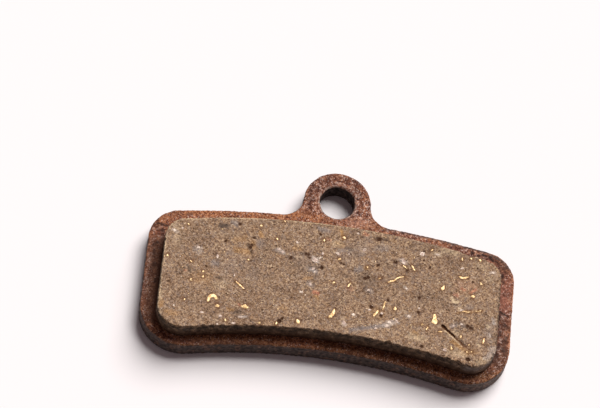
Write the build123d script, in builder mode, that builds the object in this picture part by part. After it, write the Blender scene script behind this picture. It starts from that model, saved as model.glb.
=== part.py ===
"""A disc brake pad for a four-piston bicycle caliper: a stamped steel backing plate and the friction
block bonded to it. The pad lies on its back with the worn face up. Millimetres, +X along the pad,
+Y towards the ear, +Z out of the worn face, origin under the middle of the pad's overall box."""

import os
from math import sqrt

from build123d import *

# Backing plate: a blanked sheet with an arched body and one ear for the retaining pin
plate_length = 35.7
plate_mid_height = 14.34  # top edge to foot edge, on the centreline
plate_thickness = 2.0
plate_top_radius = 90.0  # convex edge, towards the rotor rim
plate_foot_radius = 60.0  # concave edge, towards the hub
plate_top_corner = 3.2
plate_foot_corner = 4.15
die_roll = 0.2  # rounded edge where the punch went in, on the friction side
back_edge_break = 0.12

# Ear and pin hole
hole_diameter = 3.4
hole_rise = 1.86  # hole centre above the middle of the plate's top edge
hole_edge_break = 0.15
ear_wall = 1.62
ear_root_fillet = 2.1

# Friction block: the plate's arch again, set in from its edges
block_height = 1.88
block_side_margin = 1.52
block_top_margin = 1.66
block_foot_margin = 1.1
block_top_radius = 72.5
block_foot_radius = 59.5
block_top_corner = 2.1
block_foot_corner = 2.45
block_edge_wear = 0.1

# Gouge ploughed into the worn face near one foot corner, wide where the grit went in
gouge_depth = 0.22
gouge_length = 2.7
gouge_angle = -39.0  # from the pad's length
gouge_start_width = 0.26
gouge_end_width = 0.1
gouge_end_inset = 5.38  # start of the gouge, from the block's end
gouge_top_inset = 9.3  # start of the gouge, below the middle of the block's top edge

# Places that follow from the sizes
hole_radius = hole_diameter / 2
ear_radius = hole_radius + ear_wall
corner_reach = plate_length / 2 - plate_foot_corner
corner_arc = sqrt((plate_foot_radius + plate_foot_corner) ** 2 - corner_reach**2)
corner_drop = plate_foot_radius + plate_foot_corner - corner_arc
pad_depth = ear_radius + hole_rise + plate_mid_height + corner_drop
hole_y = pad_depth / 2 - ear_radius
plate_top_y = hole_y - hole_rise

block_length = plate_length - 2 * block_side_margin
block_mid_height = plate_mid_height - block_top_margin - block_foot_margin
block_top_y = plate_top_y - block_top_margin
face_z = plate_thickness + block_height


def arc_drop(radius, half_chord):
    """How far an arc falls from its middle to the end of half its chord."""
    return radius - sqrt(radius**2 - half_chord**2)


def arched_outline(length, mid_height, top_y, top_radius, foot_radius, top_corner, foot_corner):
    """An arched bar with rounded corners, as a flat sketch."""
    half = length / 2
    foot_y = top_y - mid_height
    top_end = top_y - arc_drop(top_radius, half)
    foot_end = foot_y - arc_drop(foot_radius, half)
    with BuildSketch() as bar:
        with BuildLine():
            ThreePointArc((-half, top_end), (0, top_y), (half, top_end))
            Line((half, top_end), (half, foot_end))
            ThreePointArc((half, foot_end), (0, foot_y), (-half, foot_end))
            Line((-half, foot_end), (-half, top_end))
        make_face()
        fillet(bar.vertices().group_by(Axis.Y)[-1], top_corner)
        fillet(bar.vertices().group_by(Axis.Y)[0], foot_corner)
    return bar.sketch


# Backing plate
with BuildPart() as backing_plate:
    with BuildSketch() as blank:
        plate_arcs = (plate_top_radius, plate_foot_radius, plate_top_corner, plate_foot_corner)
        add(arched_outline(plate_length, plate_mid_height, plate_top_y, *plate_arcs))
        with Locations((0, hole_y)):
            Circle(ear_radius)
        ear_roots = blank.vertices().filter_by(lambda v: abs(v.X) < ear_radius and v.Y < hole_y)
        fillet(ear_roots, ear_root_fillet)
    extrude(amount=plate_thickness)
    fillet(backing_plate.faces().sort_by(Axis.Z)[-1].outer_wire().edges(), die_roll)
    chamfer(backing_plate.faces().sort_by(Axis.Z)[0].outer_wire().edges(), back_edge_break)
    with Locations((0, hole_y, plate_thickness)):
        Hole(hole_radius)
    hole_rims = backing_plate.edges().filter_by(GeomType.CIRCLE)
    chamfer(hole_rims.filter_by(lambda e: abs(e.radius - hole_radius) < 1e-6), hole_edge_break)

# Friction block
with BuildPart() as friction_block:
    with BuildSketch(Plane.XY.offset(plate_thickness)):
        block_arcs = (block_top_radius, block_foot_radius, block_top_corner, block_foot_corner)
        add(arched_outline(block_length, block_mid_height, block_top_y, *block_arcs))
    extrude(amount=block_height)
    fillet(friction_block.faces().sort_by(Axis.Z)[-1].outer_wire().edges(), block_edge_wear)
    gouge_start = (block_length / 2 - gouge_end_inset, block_top_y - gouge_top_inset, face_z)
    with BuildSketch(Plane(origin=gouge_start).rotated((0, 0, gouge_angle))):
        Circle(gouge_start_width / 2)
        with Locations((gouge_length, 0)):
            Circle(gouge_end_width / 2)
        make_hull()
    extrude(amount=-gouge_depth, mode=Mode.SUBTRACT)

os.makedirs("parts", exist_ok=True)
for name, piece in (("backing_plate", backing_plate), ("friction_block", friction_block)):
    piece.part.label = name
    export_step(piece.part, f"parts/{name}.step")
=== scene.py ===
# Used disc brake pad: a rusted backing plate, the worn friction block on it, and the brass chips and
# mineral specks that show in the block's face
import random
from math import cos, hypot, pi, radians, sin, sqrt

import bpy
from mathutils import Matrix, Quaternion, Vector, noise
from mathutils.kdtree import KDTree


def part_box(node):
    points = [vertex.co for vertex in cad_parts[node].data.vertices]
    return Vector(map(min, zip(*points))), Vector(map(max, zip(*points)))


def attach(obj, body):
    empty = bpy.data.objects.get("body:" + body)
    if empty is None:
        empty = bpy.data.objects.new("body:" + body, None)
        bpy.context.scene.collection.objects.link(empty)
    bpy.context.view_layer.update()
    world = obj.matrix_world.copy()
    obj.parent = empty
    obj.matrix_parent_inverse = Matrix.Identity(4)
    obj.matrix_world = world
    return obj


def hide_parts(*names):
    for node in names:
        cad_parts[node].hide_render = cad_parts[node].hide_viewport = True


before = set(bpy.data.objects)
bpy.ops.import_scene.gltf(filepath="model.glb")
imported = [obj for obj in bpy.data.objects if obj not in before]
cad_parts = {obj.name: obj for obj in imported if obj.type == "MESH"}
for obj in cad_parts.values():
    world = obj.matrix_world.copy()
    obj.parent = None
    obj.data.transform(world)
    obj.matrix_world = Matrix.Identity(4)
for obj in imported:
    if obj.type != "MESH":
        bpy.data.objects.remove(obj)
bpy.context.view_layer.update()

mm = 0.001  # pieces are shaped in millimetres and brought to metres when they are done
plateLow, plateHigh = (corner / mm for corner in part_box("backing_plate"))
blockLow, blockHigh = (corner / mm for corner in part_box("friction_block"))
plateTop = plateHigh.z
faceTop = blockHigh.z
padHigh = Vector((plateHigh.x, plateHigh.y, faceTop))
print("frame loaded, worn face at", round(faceTop, 3), "mm")


# Picking, copying and sizing

mergeReach = 0.001  # in millimetres, for the solids' loose triangles
flat = 0.9  # a normal with this much of Z is level
skin = 0.05  # in millimetres, how near a face still counts as on it


def deselect():
    bpy.ops.object.select_all(action="DESELECT")


def pick(piece):
    deselect()
    piece.select_set(True)
    bpy.context.view_layer.objects.active = piece


def enter(mode):
    bpy.ops.object.mode_set(mode=mode)


def resize(piece, factor):
    pick(piece)
    piece.scale = (factor, factor, factor)
    bpy.ops.object.transform_apply(location=False, rotation=False, scale=True)


def addObject(name, data):
    made = bpy.data.objects.new(name, data)
    bpy.context.scene.collection.objects.link(made)
    return made


def copyOfNode(nodeName, pieceName):
    piece = addObject(pieceName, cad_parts[nodeName].data.copy())
    piece.data.materials.clear()
    resize(piece, 1 / mm)
    bpy.ops.mesh.customdata_custom_splitnormals_clear()
    enter("EDIT")
    bpy.ops.mesh.select_all(action="SELECT")
    bpy.ops.mesh.remove_doubles(threshold=mergeReach)
    enter("OBJECT")
    return piece


def remesh(piece, voxel):
    pick(piece)
    piece.data.remesh_voxel_size = voxel
    bpy.ops.object.voxel_remesh()


def changeFaces(piece, wanted, change):
    pick(piece)
    enter("EDIT")
    bpy.ops.mesh.select_mode(type="FACE")
    bpy.ops.mesh.select_all(action="DESELECT")
    enter("OBJECT")
    for face in piece.data.polygons:
        face.select = wanted(face.center, face.normal)
    enter("EDIT")
    change()
    enter("OBJECT")


def dissolve():  # one plain face where nothing shows
    bpy.ops.mesh.dissolve_faces(use_verts=False)


def group(piece, name, wanted):
    made = piece.vertex_groups.new(name=name)
    inside = [vertex.index for vertex in piece.data.vertices if wanted(vertex.co, vertex.normal)]
    made.add(inside, 1.0, "REPLACE")
    return made.name


def roughen(piece, groupName, name, size, depth, level):  # level 1 only cuts in, 0.5 cuts and raises alike
    texture = bpy.data.textures.new(name, "CLOUDS")
    texture.noise_scale = size
    layer = piece.modifiers.new(name, "DISPLACE")
    layer.texture = texture
    layer.texture_coords = "LOCAL"
    layer.strength = depth
    layer.mid_level = level
    layer.vertex_group = groupName
    pick(piece)
    bpy.ops.object.modifier_apply(modifier=layer.name)


def keepInside(piece, low, high):
    for vertex in piece.data.vertices:
        vertex.co = [min(max(vertex.co[axis], low[axis]), high[axis]) for axis in range(3)]


def handOver(piece, material, node=None):  # back to metres, dressed and attached to the root body
    resize(piece, mm)
    piece.data.materials.append(material)
    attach(piece, "root")
    if node:
        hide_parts(node)
    print(piece.name, "has", len(piece.data.polygons), "faces")


# Hand work on single spots

# the edge of a dab of paint, and the step between a smear's dabs
brush = {"spill": 1.6, "ragged": 0.7, "raggedScale": 5.0, "stride": 0.6}


def placesOf(piece):
    return [vertex.co for vertex in piece.data.vertices]


def treeOf(places):
    tree = KDTree(len(places))
    for index, place in enumerate(places):
        tree.insert(place, index)
    tree.balance()
    return tree


def scoop(piece, tree, centre, radius):  # what lies inside the ball is pushed out to its skin
    for place, index, distance in tree.find_range(centre, radius):
        away = piece.data.vertices[index].co - centre
        if 0 < away.length < radius:
            piece.data.vertices[index].co = centre + away.normalized() * radius


def pit(piece, tree, x, y, across, depth):
    radius = (across * across / 4 + depth * depth) / (2 * depth)
    scoop(piece, tree, Vector((x, y, faceTop - depth + radius)), radius)


def deepen(layer, index, value):
    layer[index] = max(layer[index], value)


def dab(tree, layer, centre, reach, strength):  # a soft ragged spot in a paint layer
    for place, index, distance in tree.find_range(centre, reach * brush["spill"]):
        ragged = distance * (1 + brush["ragged"] * noise.noise(place * brush["raggedScale"]))
        deepen(layer, index, strength * (1 - (ragged / reach) ** 2))


def smear(tree, layer, start, end, reach, strength):  # dabs along a line
    run = Vector(end) - Vector(start)
    count = max(2, round(run.length / (reach * brush["stride"])))
    for step in range(count + 1):
        dab(tree, layer, Vector(start) + run * (step / count), reach, strength)


def stain(tree, paint, stains, z):
    for name, rows in stains.items():
        for x, y, endX, endY, reach, strength in rows:
            smear(tree, paint[name], (x, y, z), (endX, endY, z), reach, strength)


def paintLayers(piece, *names):
    return {name: [0.0] * len(piece.data.vertices) for name in names}


def keepPaint(piece, layers):
    for name, values in layers.items():
        piece.data.attributes.new(name, "FLOAT", "POINT").data.foreach_set("value", values)


def share(value, low, high):  # 0 at low, 1 at high
    return max(0.0, min(1.0, (value - low) / (high - low)))


def mostlySmall(draws, least, most):
    return least + (most - least) * draws.random() ** 3


def factsOf(vertex, top):  # where a vertex lies, and how far it faces right, the far side and up
    place, normal = vertex.co, vertex.normal
    return {"x": place.x, "y": place.y, "down": top - place.z,
            "right": normal.x, "far": normal.y, "up": normal.z}


def coversOf(regions, facts):  # each region's cover, times the share of every range that it names
    covers = {}
    for region, (cover, ranges) in regions.items():
        for name, (none, full) in ranges.items():
            cover *= share(facts[name], none, full)
        covers[region] = cover
    return covers


# Shader helpers

noiseMiddle = 0.5  # the mean of a noise texture


def colour(red, green, blue):  # screen values 0 to 255 to scene linear
    def linear(value):
        part = value / 255
        return part / 12.92 if part <= 0.04045 else ((part + 0.055) / 1.055) ** 2.4
    return (linear(red), linear(green), linear(blue), 1.0)


def addNode(tree, kind, settings=None, inputs=None):
    made = tree.nodes.new("ShaderNode" + kind)
    for name, value in (settings or {}).items():
        setattr(made, name, value)
    for name, value in (inputs or {}).items():
        if isinstance(value, bpy.types.NodeSocket):
            tree.links.new(value, made.inputs[name])
        else:
            made.inputs[name].default_value = value
    return made


def mixColour(tree, factor, first, second, blend="MIX"):
    return addNode(tree, "Mix", {"data_type": "RGBA", "blend_type": blend},
                   {0: factor, 6: first, 7: second}).outputs[2]


def maths(tree, operation, first, second=0.0):
    return addNode(tree, "Math", {"operation": operation}, {0: first, 1: second}).outputs[0]


def vectorMaths(tree, operation, inputs):
    return addNode(tree, "VectorMath", {"operation": operation}, inputs).outputs[0]


def blendOf(tree, values, weights):  # the values times their weights, added up
    parts = [maths(tree, "MULTIPLY", value, weight) for value, weight in zip(values, weights)]
    total = parts[0]
    for part in parts[1:]:
        total = maths(tree, "ADD", total, part)
    return total


def ramp(tree, value, stops):
    made = addNode(tree, "ValToRGB", inputs={0: value})
    band = made.color_ramp
    while len(band.elements) < len(stops):
        band.elements.new(0.5)
    for element, (position, shade) in zip(band.elements, stops):
        element.position = position
        element.color = shade
    return made.outputs[0]


def levels(tree, value, low, high, top=1.0, bottom=0.0):  # bottom below low, top above high
    return addNode(tree, "MapRange", None, {0: value, 1: low, 2: high, 3: bottom, 4: top}).outputs[0]


def layerValue(tree, name):
    return addNode(tree, "Attribute", {"attribute_name": name}).outputs["Fac"]


def noiseNode(tree, place, size, detail):
    return addNode(tree, "TexNoise", None, {"Vector": place, "Scale": 1 / size, "Detail": detail})


def cloud(tree, place, size, detail=2.0):
    return noiseNode(tree, place, size, detail).outputs[0]


def warp(tree, place, size, reach):  # bends straight cell walls
    wander = noiseNode(tree, place, size, 1.0).outputs[1]
    centred = vectorMaths(tree, "SUBTRACT", {0: wander, 1: (noiseMiddle, noiseMiddle, noiseMiddle)})
    scaled = vectorMaths(tree, "SCALE", {0: centred, "Scale": reach})
    return vectorMaths(tree, "ADD", {0: place, 1: scaled})


def grains(tree, place, size):  # two random values for each grain
    cells = addNode(tree, "TexVoronoi", None, {"Vector": place, "Scale": 1 / size})
    shade = addNode(tree, "SeparateColor", None, {0: cells.outputs["Color"]})
    return shade.outputs[0], shade.outputs[1]


def threads(tree, place, size, width):  # thin curling lines
    wander = cloud(tree, place, size, detail=1.0)
    off = maths(tree, "ABSOLUTE", maths(tree, "SUBTRACT", wander, noiseMiddle))
    return levels(tree, off, 0.0, width, top=0.0, bottom=1.0)


def startMaterial(name):  # with the place on the piece in millimetres
    material = bpy.data.materials.new(name)
    material.use_nodes = True
    tree = material.node_tree
    place = addNode(tree, "TexCoord").outputs["Object"]
    return material, tree, vectorMaths(tree, "SCALE", {0: place, "Scale": 1 / mm})


def setSockets(node, values):
    for name, value in values.items():
        node.inputs[name].default_value = value


def finishMaterial(tree, shade, height, finish):
    shader = tree.nodes["Principled BSDF"]
    setSockets(shader, finish["sockets"])
    tree.links.new(shade, shader.inputs["Base Color"])
    bump = addNode(tree, "Bump", None, {"Height": height, "Distance": finish["bump"] * mm, "Strength": 1.0})
    tree.links.new(bump.outputs[0], shader.inputs["Normal"])


# Friction compound: tan, grey and ochre grains in resin

compound = {
    "bend": (0.2, 0.12),  # how the grains' walls wander: size, reach
    "grain": 0.15, "fineGrain": 0.09, "dust": 0.055,
    "toneShares": (0.26, 0.4, 0.34), "bumpShares": (0.4, 0.3, 0.6),  # of grain, fine grain and dust
    "tones": [(0.16, colour(54, 35, 23)), (0.29, colour(94, 69, 50)), (0.42, colour(130, 101, 78)),
              (0.54, colour(153, 122, 96)), (0.66, colour(174, 142, 113)), (0.79, colour(210, 179, 147)),
              (0.92, colour(242, 225, 198))],
    "grainLight": [(0.2, (0.3, 0.28, 0.26, 1.0)), (0.5, (0.75, 0.75, 0.75, 1.0)),
                   (0.8, (1.0, 1.0, 1.0, 1.0))],
    # grains of another colour: from, to and cover
    "greyGrains": (0.72, 0.78, 0.35), "greyGrain": colour(146, 130, 122),
    "ochreGrains": (0.86, 0.9, 0.35), "ochreGrain": colour(172, 134, 92),
    "fibres": [(0.42, colour(216, 188, 156)), (0.55, colour(102, 76, 55))],  # size, colour
    "fibreWidth": 0.05, "fibreBreak": 0.8, "fibreCover": (0.48, 0.6, 0.4),
    # patches: size, levels and cover, colour
    "patches": [(2.4, (0.5, 0.68, 0.5), colour(206, 200, 200)),
                (0.8, (0.5, 0.7, 0.4), colour(240, 222, 198))],
    "stains": {"greyAndPaintedLight": colour(160, 149, 145), "ochre": colour(206, 152, 88), "red": colour(220, 142, 108),
               "shade": colour(102, 84, 72), "pale": colour(236, 222, 212), "worn": colour(252, 222, 180)},
    # the pore colour also carries painted shade at the bottom of the block's walls
    "trough": colour(104, 66, 38), "wall": colour(108, 104, 100), "pore": colour(70, 42, 22),
    "bump": 0.03, "sockets": {"Roughness": 0.85, "Specular IOR Level": 0.25},
}


def frictionCompound():
    material, tree, place = startMaterial("frictionCompound")
    bent = warp(tree, place, *compound["bend"])
    tone, kind = grains(tree, bent, compound["grain"])
    fineTone, fineKind = grains(tree, bent, compound["fineGrain"])
    dust = cloud(tree, place, compound["dust"], detail=1.0)
    mixed = blendOf(tree, (tone, fineTone, dust), compound["toneShares"])
    shade = ramp(tree, mixed, compound["tones"])
    shade = mixColour(tree, levels(tree, kind, *compound["greyGrains"]), shade, compound["greyGrain"])
    shade = mixColour(tree, levels(tree, fineKind, *compound["ochreGrains"]), shade, compound["ochreGrain"])
    for size, fibre in compound["fibres"]:
        line = threads(tree, place, size, compound["fibreWidth"])
        broken = cloud(tree, bent, size * compound["fibreBreak"], detail=1.0)
        cover = maths(tree, "MULTIPLY", line, levels(tree, broken, *compound["fibreCover"]))
        shade = mixColour(tree, cover, shade, fibre)
    for size, cover, tint in compound["patches"]:
        patch = levels(tree, cloud(tree, place, size), *cover)
        shade = mixColour(tree, patch, shade, tint, "MULTIPLY")
    grainLight = ramp(tree, mixed, compound["grainLight"])
    for name, tint in compound["stains"].items():  # the grain shows through each stain
        stained = mixColour(tree, 1.0, tint, grainLight, "MULTIPLY")
        shade = mixColour(tree, layerValue(tree, name), shade, stained)
    for name, blend in (("trough", "MIX"), ("wall", "MULTIPLY"), ("pore", "MIX")):
        shade = mixColour(tree, layerValue(tree, name), shade, compound[name], blend)
    height = blendOf(tree, (tone, fineTone, dust), compound["bumpShares"])
    finishMaterial(tree, shade, height, compound)
    return material


# Brass with bright patches of painted sheen, and pale mineral: patches of two colours, finely pitted

brassWithPaintedSheen = {
    # the bright patches stand in for the light on the brass facets: painted sheen
    "dull": colour(188, 151, 103), "bright": colour(242, 211, 160),
    "patch": 0.22, "detail": 2.0, "cover": (0.4, 0.6), "pitting": 0.1,
    "bump": 0.02, "sockets": {"Metallic": 0.6, "Roughness": 0.55},
}
mineralFinish = {
    "dull": colour(196, 168, 154), "bright": colour(246, 226, 206),
    "patch": 0.2, "detail": 3.0, "cover": (0.42, 0.6), "pitting": 0.08,
    "bump": 0.03, "sockets": {"Roughness": 0.75, "Specular IOR Level": 0.2},
}


def chipMaterial(name, finish):
    material, tree, place = startMaterial(name)
    patch = cloud(tree, place, finish["patch"], finish["detail"])
    shade = mixColour(tree, levels(tree, patch, *finish["cover"]), finish["dull"], finish["bright"])
    finishMaterial(tree, shade, cloud(tree, place, finish["pitting"]), finish)
    return material


# Rust: coarse red-brown grains over dark scale, brighter in some places, with painted glints on scattered
# grains

rust = {
    "bend": (0.2, 0.14),
    "grain": 0.14, "fineGrain": 0.08, "dust": 0.05, "lump": 0.3, "crust": 0.6, "blotch": 1.4,
    "grainShares": (0.42, 0.34, 0.24),  # of grain, fine grain and dust
    "bumpShares": (0.5, 0.3, 1.2, 0.6),  # of grain, fine grain, lumps and crust
    "crustTones": [(0.34, colour(128, 80, 62)), (0.5, colour(166, 112, 85)), (0.66, colour(199, 141, 105))],
    "grainTones": [(0.2, colour(110, 68, 52)), (0.38, colour(170, 146, 138)), (0.56, colour(230, 221, 216)),
                   (0.72, colour(255, 255, 255))],
    "lumpTones": [(0.3, colour(150, 98, 86)), (0.5, colour(232, 218, 214)), (0.64, colour(255, 255, 255))],
    "scaleTones": [(0.36, colour(150, 142, 142)), (0.6, colour(255, 255, 255))],
    # orange is rust colour, and also painted light on the plate's right edges and along the block's foot
    "stains": {"orangeAndPaintedLight": colour(204, 137, 90), "red": colour(170, 110, 90), "gold": colour(130, 91, 56)},
    "stainCover": 0.85, "blotches": (0.5, 0.68, 0.3),
    "redGrain": (0.3, 1.0, 0.7, 1.0),  # smoother where it is red
    # frostLumps, frostGrains and glints pick the grains that get painted glints
    "frostLumps": (0.46, 0.6), "frostGrains": (0.5, 0.8), "glints": (0.92, 0.95, 0.45),
    "paintedGlint": colour(248, 216, 200),
    "scaleLeft": (0.5, 0.64, 0.78, 1.0),  # rust comes through the scale here and there
    # the crack colour also paints shade down the wall of the hole
    "dark": colour(86, 53, 38), "crackAndPaintedShade": colour(54, 30, 21), "scale": colour(91, 79, 74),
    # bare: worn pale steel, also painted light on the plate's side at the right front corner
    "bareAndPaintedLight": colour(212, 186, 170),
    "bump": 0.07, "sockets": {"Roughness": 0.66, "Specular IOR Level": 0.16},
}


def rustedSteel():
    material, tree, place = startMaterial("rustedSteel")
    bent = warp(tree, place, *rust["bend"])
    tone = grains(tree, bent, rust["grain"])[0]
    fineTone, fineKind = grains(tree, bent, rust["fineGrain"])
    dust = cloud(tree, place, rust["dust"], detail=1.0)
    lump = cloud(tree, place, rust["lump"])
    crust = cloud(tree, place, rust["crust"], detail=4.0)
    blotch = cloud(tree, place, rust["blotch"])
    shade = ramp(tree, crust, rust["crustTones"])
    for name, tint in rust["stains"].items():
        cover = maths(tree, "MULTIPLY", layerValue(tree, name), rust["stainCover"])
        shade = mixColour(tree, cover, shade, tint)
    shade = mixColour(tree, levels(tree, blotch, *rust["blotches"]), shade, rust["dark"])
    mixed = blendOf(tree, (tone, fineTone, dust), rust["grainShares"])
    grainy = levels(tree, layerValue(tree, "red"), *rust["redGrain"])
    shade = mixColour(tree, grainy, shade, ramp(tree, mixed, rust["grainTones"]), "MULTIPLY")
    frost = layerValue(tree, "frost")
    shade = mixColour(tree, frost, shade, ramp(tree, lump, rust["lumpTones"]), "MULTIPLY")
    # where frost is painted the lumps darken and their tops get painted glints
    onLumps = levels(tree, lump, *rust["frostLumps"])
    paintedGlinting = maths(tree, "MULTIPLY", onLumps, levels(tree, fineKind, *rust["frostGrains"]))
    shade = mixColour(tree, maths(tree, "MULTIPLY", paintedGlinting, frost), shade, rust["paintedGlint"])
    # painted glints on scattered fine grains everywhere
    shade = mixColour(tree, levels(tree, fineKind, *rust["glints"]), shade, rust["paintedGlint"])
    scaleLeft = levels(tree, crust, *rust["scaleLeft"])
    for name, left in (("dark", 1.0), ("scale", scaleLeft), ("bareAndPaintedLight", 1.0), ("crackAndPaintedShade", 1.0)):
        shade = mixColour(tree, maths(tree, "MULTIPLY", layerValue(tree, name), left), shade, rust[name])
    scaleTones = ramp(tree, lump, rust["scaleTones"])
    shade = mixColour(tree, layerValue(tree, "scale"), shade, scaleTones, "MULTIPLY")
    height = blendOf(tree, (tone, fineTone, lump, crust), rust["bumpShares"])
    finishMaterial(tree, shade, height, rust)
    return material


# Friction block: the solid remeshed finely, then worn, chipped along the foot and pitted

block = {
    "voxel": 0.085, "seed": 11, "footRadius": 59.5,
    # roughening: size, depth, level
    "wallCrumble": (0.5, 0.16, 0.7), "wallGrain": (0.16, 0.07, 0.7), "footCrumble": (0.28, 0.18, 0.35),
    "faceWaves": (1.2, 0.02, 1.0), "faceGrain": (0.18, 0.03, 1.0),
    "wallLean": 0.6, "footLean": -0.5, "faceLean": 0.4, "faceSkin": 0.15,  # what each group takes in
    "footHalf": 14.6, "middleHalf": 0.2,
    "bites": (230, (0.12, 0.42), (0.35, 0.95), (-0.3, 0.4)),  # count, radius, way out, way up
    "crumbs": (420, (0.12, 0.3), (0.2, 0.1), (0.5, 0.9)),  # count, radius, off plate and face, way out
    "nicks": (200, (0.12, 0.42), 0.22, (0.3, 0.85)),  # count, radius, largest at the left, way out
    # where the edge is nicked: skin and lean, both ends, and the right of the top
    "edgeSkin": 0.2, "edgeLean": (0.3, 0.85), "endFrom": 13.2, "topLean": 0.3, "topFrom": 10.0,
    "pitPaint": (0.68, 1.3),  # reach for its width, strength
    # count, x, y, width, depth and reach for the width, strength
    "pores": (300, (-16, 16), (-9, 3.6), (0.1, 0.22), 0.35, 0.55, (0.2, 0.75)),
    # the gouge: its floor rises, its far half is torn wider, and it runs out in a trough
    "gougeMiddle": (12.0, -6.5), "gougeReach": 1.6, "gougeFloor": 0.1, "gougeEndDepth": 0.07,
    "troughStart": (12.9, -7.3), "troughEnd": (13.85, -7.92), "troughPaint": (0.15, 0.85),
    "torn": (8, 0.25, 0.13), "trough": (12, 0.3, 0.17),  # steps, width, depth
    # painted shade round each brass chip, in the trough layer: reach beyond the chip's half width, strength
    "paintedChipShadeReach": 0.2, "paintedChipShadeStrength": 0.85,
    # smears on the walls: two ends, reach, strength
    # lighter grey on the wall at the left front corner
    "greyLeftWallCorner": ((-15.7, -7.3, 3.1), (-13.2, -8.9, 3.1), 0.7, 0.7),
    # painted light on the wall at the right front corner, in the grey layer
    "paintedLitWallCorner": ((13.8, -9.5, 3.0), (16.0, -8.2, 3.0), 0.8, 0.8),
    "blotch": (2.2, 0.92, 0.6),  # scale, middle, depth
    "raggedScales": (0.9, 5.0), "wornFrom": 0.2, "wornLine": 0.13,
    # painted regions: cover, then where each begins and where it is full
    "regions": {
        "steep": (0.74, {"up": (0.82, 0.5)}), "deep": (1.0, {"down": (0.12, 0.27)}),
        # grime: painted shade, darker towards the bottom of the block's walls, in the pore layer
        "grime": (0.75, {"up": (0.82, 0.5), "down": (0.58, 1.68)}),
        # paleCorner: painted light, the wall is darkened less at the right front corner
        "paleCorner": (0.6, {"x": (13.2, 15.2), "y": (-6.5, -8.5)}),
        "worn": (1.0, {"up": (0.97, 0.85), "down": (0.2, 0.1), "far": (-0.35, -0.1), "right": (0.9, 0.3),
                       "ragged": (-0.35, 0.6), "x": (12.0, -8.0)}),
        "gouge": (1.0, {"down": (0.03, 0.1)}),
    },
}
# dark holes in the worn face: x, y, across, depth
facePits = [
    (-10.5, 0.27, 0.3, 0.12), (-9.27, 2.3, 0.3, 0.08), (-12.05, -2.7, 0.22, 0.1), (-8.05, -0.05, 0.35, 0.12),
    (-7.95, 0.25, 0.3, 0.1), (-7.85, 1.05, 0.32, 0.1), (-4.6, -7.5, 0.45, 0.22), (-4.36, -7.2, 0.3, 0.14),
    (-4.1, -0.55, 0.35, 0.1), (-2.7, 0.08, 0.3, 0.1), (-2.45, 0.05, 0.26, 0.1), (-2.35, -0.3, 0.22, 0.08),
    (-1.05, -1.2, 0.4, 0.16), (-1.5, 2.4, 0.3, 0.1), (0.75, -0.4, 0.24, 0.1), (1.0, -0.5, 0.22, 0.1),
    (3.2, -1.7, 0.36, 0.14), (3.45, -1.55, 0.3, 0.12), (4.3, -0.08, 0.32, 0.1), (3.98, -4.7, 0.34, 0.18),
    (5.55, -3.75, 0.26, 0.14), (4.98, -5.45, 0.3, 0.12), (4.15, 2.7, 0.45, 0.1), (5.95, 0.5, 0.4, 0.12),
    (7.1, -0.22, 0.26, 0.16), (8.65, 2.05, 0.24, 0.1), (9.3, 0.4, 0.26, 0.1), (8.5, -3.0, 0.3, 0.12),
    (8.55, -4.6, 0.34, 0.08), (13.35, -5.3, 0.4, 0.1), (13.65, -5.5, 0.36, 0.1), (13.6, -8.85, 0.4, 0.2),
    (9.1, -8.12, 0.34, 0.14), (13.5, -0.52, 0.24, 0.1), (13.9, 1.05, 0.22, 0.1), (8.65, 1.1, 0.22, 0.1),
]
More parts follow.
